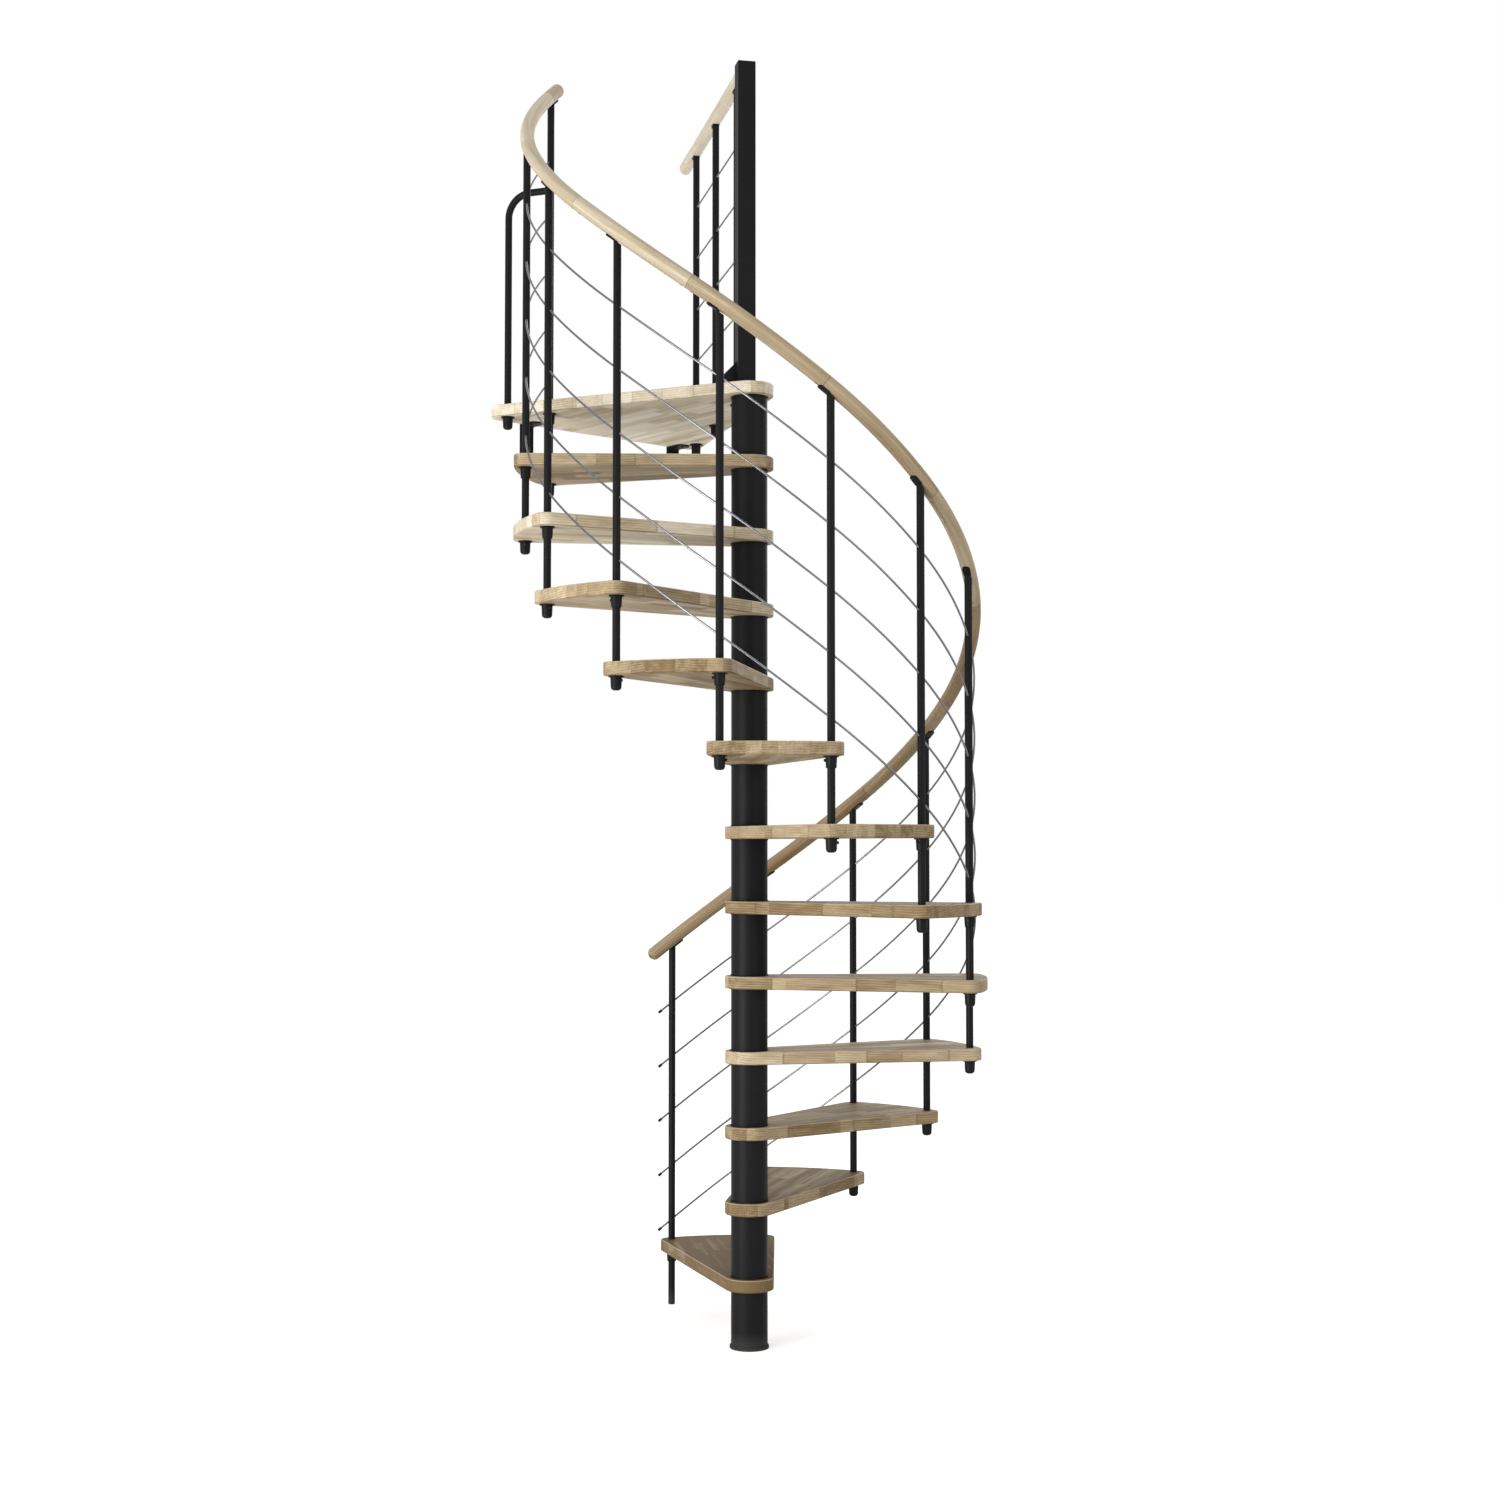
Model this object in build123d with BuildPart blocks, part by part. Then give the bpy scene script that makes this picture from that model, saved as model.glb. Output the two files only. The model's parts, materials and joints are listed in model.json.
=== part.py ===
from build123d import *
from math import acos, atan, cos, degrees, hypot, radians, sin
import os

os.makedirs("parts", exist_ok=True)

# Climb: twelve treads turn clockwise round the column, and the landing is the thirteenth rise
tread_count = 12
rise = 220
first_rise = 207
total_turn = 313.4
last_post_angle = 27.9

# Treads, seen from above as a wedge between the hub and the two outer corners
outer_radius = 700
corner_radius = 35
hub_radius = 72
board_thickness = 37
edge_round = 4

# Landing, whose straight exit edge lies at landing_depth from the column axis
landing_depth = 785
landing_corner_spread = 370
landing_corner_radius = 45

# Column of spacer tubes threaded on one pole
floor_plate_radius = 58
floor_plate_thickness = 8
floor_plate_round = 3
anchor_circle_radius = 36
anchor_hole_radius = 5.5
anchor_count = 3
pole_radius = 21
pole_wall = 3
spacer_radius = 54
spacer_wall = 3
spacer_lip = 2
spacer_end_thickness = 3.5
sliding_gap = 0.3

# Balusters and the cast fittings that hold them under the boards
baluster_radius = 11
baluster_wall = 2
bore_gap = 0.5
flange_radius = 21
flange_thickness = 4
sleeve_top_radius = 16
sleeve_end_radius = 14.5
collar_length = 34
collar_round = 3
socket_length = 40
socket_depth = 34
socket_round = 10
knob_radius = 4
knob_reach = 20
knob_drop = 13
foot_plug_height = 5
foot_plug_round = 2.5
foot_plug_spigot = 8

# Round wooden handrail over the balusters
handrail_radius = 21
handrail_height = 963
handrail_lead_in = 6.7
handrail_overrun = 4.7
handrail_segment_turn = 31.8
handrail_end_round = 18
glue_joint = 0.3

# Saddle plates between the balusters and the handrail
saddle_length = 44
saddle_width = 22
saddle_thickness = 3
saddle_cradle = 3
saddle_shift = 7

# Steel infill rods, which run through holes in the balusters
rod_count = 5
rod_radius = 3
rod_first_height = 64
rod_spacing = 174
rod_lead_in = 55
rod_overrun = 24
cap_radius = 4.5
cap_length = 12
cap_end = 2

# Guard along the landing's right edge, from the newel post to beyond the exit edge
guard_inset = 85
guard_rail_height = 956
guard_rail_length = 984
guard_post_first = 116
guard_post_spacing = 328
guard_post_count = 3
guard_rod_overrun = 24

# Newel post on the column's end, with its foot
newel_width = 54
newel_wall = 3
newel_height = 974
newel_cap_height = 9
newel_cap_skirt = 2
newel_cap_slope = 70
newel_cap_step = 1
newel_cap_spigot = 12
foot_thickness = 6
foot_width = 66
foot_back = 38
foot_front = 60
foot_corner_radius = 8
foot_tongue_width = 20
fin_thickness = 5
fin_size = 62

# Hoop at the landing's left corner
hoop_reach = 811
hoop_height = 665
hoop_bend = 75

# Angle brackets that hang the landing's exit edge on the floor above
bracket_offset = 36
bracket_spread = 298
bracket_width = 50
bracket_thickness = 5
bracket_drop = 105
bracket_reach = 74
bracket_bend = 4
bracket_hole_radius = 5.5
bracket_hole_drop = 30
bracket_hole_spacing = 50
bracket_plate_round = 20
bracket_foot_round = 10

# Worked out from the sizes above
step_angle = total_turn / tread_count
post_circle_radius = outer_radius - corner_radius
pitch = atan(rise / (post_circle_radius * radians(step_angle)))
post_count = tread_count + 1
landing_number = tread_count + 1
rod_heights = [rod_first_height + i * rod_spacing for i in range(rod_count)]
arc_per_step = post_circle_radius * radians(step_angle) / cos(pitch)
joint_steps = glue_joint / arc_per_step
handrail_start = -handrail_lead_in / step_angle
handrail_end = tread_count + handrail_overrun / step_angle
segment_steps = handrail_segment_turn / step_angle
segment_count = int((handrail_end - handrail_start) / segment_steps) + 1


def level(number):
    """Height of a tread's top, where the landing counts as one tread more."""
    return first_rise + (number - 1) * rise


def post_angle(number):
    """Direction of a baluster from the column axis, in degrees from +X."""
    return 90 + last_post_angle + total_turn - number * step_angle


def post_point(number, height=0):
    """Centre of a baluster at a height over the floor."""
    turn = radians(post_angle(number))
    return Vector(post_circle_radius * cos(turn), post_circle_radius * sin(turn), height)


def climb_plane(number, height):
    """Plane on a baluster, at a height over the line of the tread noses, tilted as the climb is."""
    turn = radians(post_angle(number))
    uphill = Vector(sin(turn) * cos(pitch), -cos(turn) * cos(pitch), sin(pitch))
    upward = Vector(-sin(turn) * sin(pitch), cos(turn) * sin(pitch), cos(pitch))
    return Plane(origin=post_point(number, level(number + 1) + height), x_dir=uphill, z_dir=upward)


def cross_plane(number, height):
    """Plane square to the climb at a baluster, at a height over the line of the tread noses."""
    along = climb_plane(number, height)
    return Plane(origin=along.origin, x_dir=along.z_dir, z_dir=along.x_dir)


def climb_point(place, height):
    """Point over the balusters' circle, with its place counted in steps from the first baluster."""
    return post_point(place, level(1) + place * rise + height)


def climb_path(start, end, height):
    """Arc through three points of the climb, which a bent bar follows between two places."""
    middle = climb_point((start + end) / 2, height)
    return ThreePointArc(climb_point(start, height), middle, climb_point(end, height))


def rail_places(segment):
    """Both ends of one length of the handrail, counted in steps, less the glue joint."""
    start = handrail_start + segment * segment_steps
    return start, min(start + segment_steps - joint_steps, handrail_end)


def rail_plane(number):
    """Plane on the handrail's axis over a baluster, with X up the rail."""
    start, end = rail_places(int((number - handrail_start) / segment_steps))
    path = climb_path(start, end, handrail_height)
    share = (number - start) / (end - start)
    outward = Vector(cos(radians(post_angle(number))), sin(radians(post_angle(number))), 0)
    return Plane(origin=path @ share, x_dir=path % share, z_dir=(path % share).cross(outward))


def tangent_angle(big_radius, small_radius, distance):
    """Angle between the line of two circles' centres and the radius to their outer tangent."""
    return degrees(acos((big_radius - small_radius) / distance))


def on_circle(centre, radius, angle):
    """Point of a circle in the floor plan."""
    return (centre[0] + radius * cos(radians(angle)), centre[1] + radius * sin(radians(angle)))


# Floor plate, held by three anchors inside the lowest spacer
with BuildPart() as floor_plate:
    with BuildSketch():
        Circle(floor_plate_radius)
    extrude(amount=floor_plate_thickness)
    fillet(floor_plate.edges().group_by(Axis.Z)[0], floor_plate_round)
    with PolarLocations(anchor_circle_radius, anchor_count):
        Hole(anchor_hole_radius)
floor_plate.part.label = "floor_plate"
export_step(floor_plate.part, "parts/floor_plate.step")

# Pole through the whole column, from the floor plate to the top of the landing
with BuildPart() as centre_pole:
    with BuildSketch(Plane.XY.offset(floor_plate_thickness)):
        Circle(pole_radius)
        Circle(pole_radius - pole_wall, mode=Mode.SUBTRACT)
    extrude(amount=level(landing_number) - floor_plate_thickness)
centre_pole.part.label = "centre_pole"
export_step(centre_pole.part, "parts/centre_pole.step")


def spacer_profile(bottom, top):
    """Half section of a spacer tube with its two end discs, drawn in the XZ plane."""
    inner = pole_radius + sliding_gap
    lip = spacer_radius + spacer_lip
    middle = (bottom + top) / 2
    with BuildSketch(Plane.XZ) as profile:
        with Locations((spacer_radius - spacer_wall / 2, middle)):
            Rectangle(spacer_wall, top - bottom)
        with Locations((inner, bottom)):
            Rectangle(lip - inner, spacer_end_thickness, align=(Align.MIN, Align.MIN))
        with Locations((inner, top)):
            Rectangle(lip - inner, spacer_end_thickness, align=(Align.MIN, Align.MAX))
    return profile.sketch


# Thirteen spacers, one under each tread and one under the landing
with BuildPart() as column_spacers:
    for number in range(1, landing_number + 1):
        below = floor_plate_thickness if number == 1 else level(number - 1)
        add(spacer_profile(below, level(number) - board_thickness))
        revolve(axis=Axis.Z)
column_spacers.part.label = "column_spacers"
export_step(column_spacers.part, "parts/column_spacers.step")


def tread_outline(rear, front):
    """Wedge between two balusters: hub round, straight sides, round corners and an arc outside."""
    side = tangent_angle(hub_radius, corner_radius, post_circle_radius)
    rear_corner = on_circle((0, 0), post_circle_radius, rear)
    front_corner = on_circle((0, 0), post_circle_radius, front)
    rear_way = rear - side
    front_way = front + side
    with BuildSketch() as outline:
        with BuildLine():
            CenterArc((0, 0), hub_radius, front_way, 360 - (front - rear) - 2 * side)
            Line(on_circle((0, 0), hub_radius, rear_way), on_circle(rear_corner, corner_radius, rear_way))
            CenterArc(rear_corner, corner_radius, rear_way, side)
            CenterArc((0, 0), outer_radius, rear, front - rear)
            CenterArc(front_corner, corner_radius, front, side)
            Line(on_circle(front_corner, corner_radius, front_way), on_circle((0, 0), hub_radius, front_way))
        make_face()
    return outline.sketch


def make_tread(number):
    """Wooden tread with rounded edges, bored for the pole and for the two balusters it carries."""
    rear, front = post_angle(number), post_angle(number - 1)
    with BuildPart() as tread:
        with BuildSketch(Plane.XY.offset(level(number) - board_thickness)):
            add(tread_outline(rear, front))
        extrude(amount=board_thickness)
        fillet(tread.edges().filter_by(Axis.Z, reverse=True), edge_round)
        with BuildSketch(Plane.XY.offset(level(number))):
            Circle(pole_radius + bore_gap)
            with Locations(on_circle((0, 0), post_circle_radius, rear)):
                Circle(baluster_radius + bore_gap)
            with Locations(on_circle((0, 0), post_circle_radius, front)):
                Circle(baluster_radius + bore_gap)
        extrude(amount=-board_thickness, mode=Mode.SUBTRACT)
    return tread.part


for number in range(1, tread_count + 1):
    tread = make_tread(number)
    tread.label = f"tread_{number:02}"
    export_step(tread, f"parts/{tread.label}.step")

# Landing plan: hub round, two straight sides, round corners and the straight exit edge
landing_top = level(landing_number)
landing_underside = landing_top - board_thickness
corner_y = landing_depth - landing_corner_radius
corner_distance = hypot(landing_corner_spread, corner_y)
corner_angle = degrees(atan(landing_corner_spread / corner_y))
landing_side = tangent_angle(hub_radius, landing_corner_radius, corner_distance)
guard_angle = 90 - corner_angle - (90 - landing_side)
guard_side = guard_inset - hub_radius
guard_plane = Plane(
    origin=(*on_circle((0, 0), guard_side, guard_angle + 90), landing_top),
    x_dir=(cos(radians(guard_angle)), sin(radians(guard_angle)), 0),
    z_dir=(0, 0, 1),
)
guard_distances = [guard_post_first + i * guard_post_spacing for i in range(guard_post_count)]
guard_points = [guard_plane.from_local_coords((distance, 0, 0)) for distance in guard_distances]
hoop_foot = Vector(*on_circle((0, 0), hoop_reach, post_angle(tread_count)), landing_top)
landing_bores = [post_point(tread_count), hoop_foot] + guard_points

with BuildPart() as landing:
    with BuildSketch(Plane.XY.offset(landing_underside)):
        right = (landing_corner_spread, corner_y)
        left = (-landing_corner_spread, corner_y)
        with BuildLine():
            low = 90 - corner_angle - landing_side
            high = 90 + corner_angle + landing_side
            CenterArc((0, 0), hub_radius, high, 360 - (high - low))
            Line(on_circle((0, 0), hub_radius, low), on_circle(right, landing_corner_radius, low))
            CenterArc(right, landing_corner_radius, low, 90 - low)
            Line(on_circle(right, landing_corner_radius, 90), on_circle(left, landing_corner_radius, 90))
            CenterArc(left, landing_corner_radius, 90, high - 90)
            Line(on_circle(left, landing_corner_radius, high), on_circle((0, 0), hub_radius, high))
        make_face()
    extrude(amount=board_thickness)
    fillet(landing.edges().filter_by(Axis.Z, reverse=True), edge_round)
    with BuildSketch(Plane.XY.offset(landing_top)):
        Circle(pole_radius + bore_gap)
        with Locations(*[(point.X, point.Y) for point in landing_bores]):
            Circle(baluster_radius + bore_gap)
    extrude(amount=-board_thickness, mode=Mode.SUBTRACT)
landing.part.label = "landing"
export_step(landing.part, "parts/landing.step")


def make_baluster(number):
    """Tube from its socket to the sloping saddle under the handrail, with a hole for each rod.

    The first one stands on its foot plug instead.
    """
    bottom = level(number) - board_thickness - socket_depth if number > 0 else foot_plug_height
    top = level(number + 1) + handrail_height
    seat = rail_plane(number).offset(-handrail_radius - saddle_thickness)
    with BuildPart() as baluster:
        with BuildSketch(Plane(origin=post_point(number, bottom))):
            Circle(baluster_radius)
            Circle(baluster_radius - baluster_wall, mode=Mode.SUBTRACT)
        extrude(amount=top - bottom)
        split(bisect_by=seat, keep=Keep.BOTTOM)
        for height in rod_heights:
            with BuildSketch(cross_plane(number, height)):
                Circle(rod_radius + bore_gap)
        extrude(amount=2 * baluster_radius, both=True, mode=Mode.SUBTRACT)
    return baluster.part


for number in range(post_count):
    baluster = make_baluster(number)
    baluster.label = f"baluster_{number + 1:02}"
    export_step(baluster, f"parts/{baluster.label}.step")

# Plug in the first baluster's lower end, which rests on the floor
with BuildPart() as foot_plug:
    with BuildSketch(Plane(origin=post_point(0))):
        Circle(baluster_radius)
    extrude(amount=foot_plug_height)
    fillet(foot_plug.edges().group_by(Axis.Z)[0], foot_plug_round)
    with BuildSketch(Plane(origin=post_point(0, foot_plug_height))):
        Circle(baluster_radius - baluster_wall - sliding_gap)
    extrude(amount=foot_plug_spigot)
foot_plug.part.label = "foot_plug"
export_step(foot_plug.part, "parts/foot_plug.step")


def make_fitting(point, underside, knob_direction, closed):
    """Cast fitting under a board: flange, tapered sleeve and the head of its set screw.

    The baluster passes through an open one and stands in a closed one, which has a rounded end.
    """
    length = socket_length if closed else collar_length
    depth = socket_depth if closed else collar_length
    outward = (cos(radians(knob_direction)), sin(radians(knob_direction)), 0)
    with BuildPart() as fitting:
        with BuildSketch(Plane(origin=(point.X, point.Y, underside - flange_thickness))):
            Circle(sleeve_top_radius)
        with BuildSketch(Plane(origin=(point.X, point.Y, underside - length))):
            Circle(sleeve_end_radius)
        loft()
        fillet(fitting.edges().sort_by(Axis.Z)[0], socket_round if closed else collar_round)
        with BuildSketch(Plane(origin=(point.X, point.Y, underside))):
            Circle(flange_radius)
        extrude(amount=-flange_thickness)
        with BuildSketch(Plane(origin=(point.X, point.Y, underside - knob_drop), z_dir=outward)):
            Circle(knob_radius)
        extrude(amount=knob_reach)
        with BuildSketch(Plane(origin=(point.X, point.Y, underside))):
            Circle(baluster_radius + sliding_gap)
        extrude(amount=-depth, mode=Mode.SUBTRACT)
    return fitting.part


# Collars under the nose of every tread and of the landing
collars = []
for number in range(post_count):
    underside = level(number + 1) - board_thickness
    collars.append(make_fitting(post_point(number), underside, post_angle(number) - 90, False))
with BuildPart() as nose_collars:
    add(collars)
nose_collars.part.label = "nose_collars"
export_step(nose_collars.part, "parts/nose_collars.step")

# Sockets under the rear corner of every tread
sockets = []
for number in range(1, post_count):
    underside = level(number) - board_thickness
    sockets.append(make_fitting(post_point(number), underside, post_angle(number) + 90, True))
with BuildPart() as rear_sockets:
    add(sockets)
rear_sockets.part.label = "rear_sockets"
export_step(rear_sockets.part, "parts/rear_sockets.step")

# Sockets under the landing for the guard posts and the hoop
sockets = []
for point in [hoop_foot] + guard_points:
    sockets.append(make_fitting(point, landing_underside, guard_angle + 180, True))
with BuildPart() as landing_sockets:
    add(sockets)
landing_sockets.part.label = "landing_sockets"
export_step(landing_sockets.part, "parts/landing_sockets.step")


def make_length(start, end, height, radius):
    """Round bar swept up the climb between two places, each counted in steps from the first baluster."""
    path = climb_path(start, end, height)
    with BuildPart() as length:
        with BuildSketch(Plane(path ^ 0)):
            Circle(radius)
        sweep(path=path)
    return length.part


# Handrail in glued lengths, each bent to an arc of the climb, with rounded ends
lengths = []
for segment in range(segment_count):
    start, end = rail_places(segment)
    lengths.append(make_length(start, end, handrail_height, handrail_radius))
with BuildPart() as handrail:
    add(lengths)
    fillet(handrail.faces().filter_by(GeomType.PLANE).sort_by(Axis.Z)[0].edges(), handrail_end_round)
    fillet(handrail.faces().filter_by(GeomType.PLANE).sort_by(Axis.Z)[-1].edges(), handrail_end_round)
handrail.part.label = "handrail"
export_step(handrail.part, "parts/handrail.step")

# Infill rods in lengths that meet inside the balusters
rod_start = -rod_lead_in / arc_per_step
rod_end = tread_count + rod_overrun / arc_per_step
for index, height in enumerate(rod_heights):
    lengths = [make_length(rod_start, 1 - joint_steps, height, rod_radius)]
    for number in range(1, tread_count - 1):
        lengths.append(make_length(number, number + 1 - joint_steps, height, rod_radius))
    lengths.append(make_length(tread_count - 1, rod_end, height, rod_radius))
    with BuildPart() as rod:
        add(lengths)
    rod.part.label = f"rod_{index + 1}"
    export_step(rod.part, f"parts/{rod.part.label}.step")

# Caps on the rods' lower ends
with BuildPart() as rod_caps:
    for height in rod_heights:
        start = climb_path(rod_start, 1, height) ^ 0
        with BuildSketch(Plane(start).offset(-cap_end)):
            Circle(cap_radius)
        extrude(amount=cap_length)
        with BuildSketch(Plane(start)):
            Circle(rod_radius + sliding_gap)
        extrude(amount=cap_length, mode=Mode.SUBTRACT)
rod_caps.part.label = "rod_caps"
export_step(rod_caps.part, "parts/rod_caps.step")


def make_saddle(rail_line):
    """Rounded plate with a hollow top that cradles a rail, whose axis is the plane's X direction."""
    with BuildPart() as saddle:
        with BuildSketch(rail_line.offset(-handrail_radius - saddle_thickness)):
            with Locations((saddle_shift, 0)):
                SlotOverall(saddle_length, saddle_width)
        extrude(amount=saddle_thickness + saddle_cradle)
        with BuildSketch(Plane(origin=rail_line.origin, x_dir=rail_line.z_dir, z_dir=rail_line.x_dir)):
            Circle(handrail_radius + sliding_gap)
        extrude(amount=saddle_length, both=True, mode=Mode.SUBTRACT)
    return saddle.part


saddles = [make_saddle(rail_plane(number)) for number in range(post_count)]
for distance in guard_distances:
    centre = guard_plane.from_local_coords((distance, 0, guard_rail_height))
    saddles.append(make_saddle(Plane(origin=centre, x_dir=guard_plane.x_dir, z_dir=(0, 0, 1))))
with BuildPart() as rail_saddles:
    add(saddles)
rail_saddles.part.label = "rail_saddles"
export_step(rail_saddles.part, "parts/rail_saddles.step")

# Foot plate that closes the column, with the fin that stiffens the newel post
half_newel = newel_width / 2
foot_plane = guard_plane.offset(foot_thickness)
with BuildPart() as newel_foot:
    with BuildSketch(guard_plane):
        with Locations((0, (foot_front - foot_back) / 2 - guard_side)):
            RectangleRounded(foot_width, foot_front + foot_back, foot_corner_radius)
        with Locations((0, half_newel)):
            Rectangle(foot_tongue_width, fin_size, align=(Align.CENTER, Align.MIN))
    extrude(amount=foot_thickness)
    fin_plane = Plane(origin=foot_plane.origin, x_dir=foot_plane.y_dir, z_dir=foot_plane.x_dir)
    with BuildSketch(fin_plane):
        with BuildLine():
            Polyline((half_newel, 0), (half_newel + fin_size, 0), (half_newel, fin_size), close=True)
        make_face()
    extrude(amount=fin_thickness / 2, both=True)
newel_foot.part.label = "newel_foot"
export_step(newel_foot.part, "parts/newel_foot.step")

# Square newel post with a hole for each guard rod
with BuildPart() as newel_post:
    with BuildSketch(foot_plane):
        RectangleRounded(newel_width, newel_width, newel_wall)
        Rectangle(newel_width - 2 * newel_wall, newel_width - 2 * newel_wall, mode=Mode.SUBTRACT)
    extrude(amount=newel_height - foot_thickness)
    rod_plane = Plane(origin=guard_plane.origin, x_dir=guard_plane.z_dir, z_dir=guard_plane.x_dir)
    with BuildSketch(rod_plane):
        with Locations(*[(height, 0) for height in rod_heights]):
            Circle(rod_radius + bore_gap)
    extrude(amount=newel_width, mode=Mode.SUBTRACT)
newel_post.part.label = "newel_post"
export_step(newel_post.part, "parts/newel_post.step")

# Hipped cap with a spigot that drops into the newel post
cap_plane = guard_plane.offset(newel_height)
with BuildPart() as newel_cap:
    with BuildSketch(cap_plane):
        RectangleRounded(newel_width, newel_width, newel_wall)
    extrude(amount=newel_cap_skirt)
    with BuildSketch(cap_plane.offset(newel_cap_skirt)):
        Rectangle(newel_width - 2 * newel_cap_step, newel_width - 2 * newel_cap_step)
    extrude(amount=newel_cap_height - newel_cap_skirt, taper=newel_cap_slope)
    with BuildSketch(cap_plane):
        spigot = newel_width - 2 * newel_wall - 2 * sliding_gap
        Rectangle(spigot, spigot)
    extrude(amount=-newel_cap_spigot)
newel_cap.part.label = "newel_cap"
export_step(newel_cap.part, "parts/newel_cap.step")

# Guard posts, each from its socket to a level saddle
guard_saddle_base = guard_rail_height - handrail_radius - saddle_thickness
with BuildPart() as guard_posts:
    socket_floor = landing_underside - socket_depth
    for point in guard_points:
        with BuildSketch(Plane(origin=(point.X, point.Y, socket_floor))):
            Circle(baluster_radius)
            Circle(baluster_radius - baluster_wall, mode=Mode.SUBTRACT)
    extrude(amount=landing_top + guard_saddle_base - socket_floor)
    with BuildSketch(rod_plane):
        with Locations(*[(height, 0) for height in rod_heights]):
            Circle(rod_radius + bore_gap)
    extrude(amount=guard_rail_length, mode=Mode.SUBTRACT)
guard_posts.part.label = "guard_posts"
export_step(guard_posts.part, "parts/guard_posts.step")

# Straight guard rail from the newel post, with a rounded end
with BuildPart() as guard_rail:
    with BuildSketch(rod_plane.offset(half_newel)):
        with Locations((guard_rail_height, 0)):
            Circle(handrail_radius)
    extrude(amount=guard_rail_length - half_newel)
    fillet(guard_rail.faces().filter_by(GeomType.PLANE).sort_by(Axis.Y)[-1].edges(), handrail_end_round)
guard_rail.part.label = "guard_rail"
export_step(guard_rail.part, "parts/guard_rail.step")

# Straight guard rods from inside the newel post to just past the last guard post
with BuildPart() as guard_rods:
    rod_seat = half_newel - newel_wall
    with BuildSketch(rod_plane.offset(rod_seat)):
        with Locations(*[(height, 0) for height in rod_heights]):
            Circle(rod_radius)
    extrude(amount=guard_distances[-1] + guard_rod_overrun - rod_seat)
guard_rods.part.label = "guard_rods"
export_step(guard_rods.part, "parts/guard_rods.step")

# Bent tube hoop from its socket to the last baluster, coped to fit it
hoop_top = landing_top + hoop_height
hoop_bottom = Vector(hoop_foot.X, hoop_foot.Y, landing_underside - socket_depth)
hoop_corner = Vector(hoop_foot.X, hoop_foot.Y, hoop_top)
hoop_finish = post_point(tread_count, hoop_top)
with BuildPart() as landing_hoop:
    with BuildLine() as hoop_line:
        FilletPolyline(hoop_bottom, hoop_corner, hoop_finish, radius=hoop_bend)
    with BuildSketch(Plane(origin=hoop_bottom)):
        Circle(baluster_radius)
        Circle(baluster_radius - baluster_wall, mode=Mode.SUBTRACT)
    sweep(path=hoop_line.line)
    with BuildSketch(Plane(origin=hoop_finish - Vector(0, 0, 2 * baluster_radius))):
        Circle(baluster_radius + sliding_gap)
    extrude(amount=4 * baluster_radius, mode=Mode.SUBTRACT)
landing_hoop.part.label = "landing_hoop"
export_step(landing_hoop.part, "parts/landing_hoop.step")

# Two angle brackets under the exit edge, each with two bolt holes
bracket_places = (bracket_offset - bracket_spread, bracket_offset + bracket_spread)
bracket_holes = (bracket_hole_drop, bracket_hole_drop + bracket_hole_spacing)
with BuildPart() as wall_brackets:
    for place in bracket_places:
        with BuildSketch(Plane.YZ.offset(place)) as angle_profile:
            with Locations((landing_depth, landing_underside)):
                Rectangle(bracket_thickness, bracket_drop, align=(Align.MAX, Align.MAX))
                Rectangle(bracket_reach, bracket_thickness, align=(Align.MAX, Align.MAX))
            inner_corner = (landing_depth - bracket_thickness, landing_underside - bracket_thickness, 0)
            fillet(angle_profile.vertices().sort_by_distance(inner_corner)[0], bracket_bend)
        extrude(amount=bracket_width / 2, both=True)
    fillet(wall_brackets.edges().filter_by(Axis.Z).group_by(Axis.Y)[0], bracket_plate_round)
    fillet(wall_brackets.edges().filter_by(Axis.Y).group_by(Axis.Z)[0], bracket_foot_round)
    with BuildSketch(Plane.XZ.offset(-landing_depth)):
        for drop in bracket_holes:
            with Locations(*[(place, landing_underside - drop) for place in bracket_places]):
                Circle(bracket_hole_radius)
    extrude(amount=bracket_thickness, mode=Mode.SUBTRACT)
wall_brackets.part.label = "wall_brackets"
export_step(wall_brackets.part, "parts/wall_brackets.step")
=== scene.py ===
import json
import math

import bpy
from mathutils import Matrix, Vector


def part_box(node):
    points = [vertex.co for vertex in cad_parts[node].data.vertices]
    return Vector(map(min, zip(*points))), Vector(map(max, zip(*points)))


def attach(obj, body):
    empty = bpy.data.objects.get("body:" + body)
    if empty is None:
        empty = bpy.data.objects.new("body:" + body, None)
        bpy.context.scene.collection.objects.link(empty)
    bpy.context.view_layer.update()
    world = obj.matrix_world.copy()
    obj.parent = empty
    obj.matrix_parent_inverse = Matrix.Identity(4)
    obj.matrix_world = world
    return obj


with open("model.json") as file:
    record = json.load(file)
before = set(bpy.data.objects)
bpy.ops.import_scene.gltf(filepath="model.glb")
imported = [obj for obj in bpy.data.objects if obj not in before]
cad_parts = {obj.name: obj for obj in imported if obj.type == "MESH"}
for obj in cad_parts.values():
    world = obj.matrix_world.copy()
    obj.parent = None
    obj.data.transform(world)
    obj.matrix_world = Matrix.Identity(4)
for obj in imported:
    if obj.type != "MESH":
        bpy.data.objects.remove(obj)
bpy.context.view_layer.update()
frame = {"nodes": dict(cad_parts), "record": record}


# Treads and landing: 37 mm oak panels, glued up from finger-jointed staves, planed and sanded, with
# rounded edges and a satin lacquer. The staves run from the hub outwards, so every board has its
# own direction, and neighbouring staves differ in tone and grain.
def linear(hex_colour):
    """Linear colour of an sRGB hex value."""
    channels = [int(hex_colour[i:i + 2], 16) / 255 for i in (0, 2, 4)]
    return [c / 12.92 if c <= 0.04045 else ((c + 0.055) / 1.055) ** 2.4 for c in channels] + [1.0]


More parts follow.
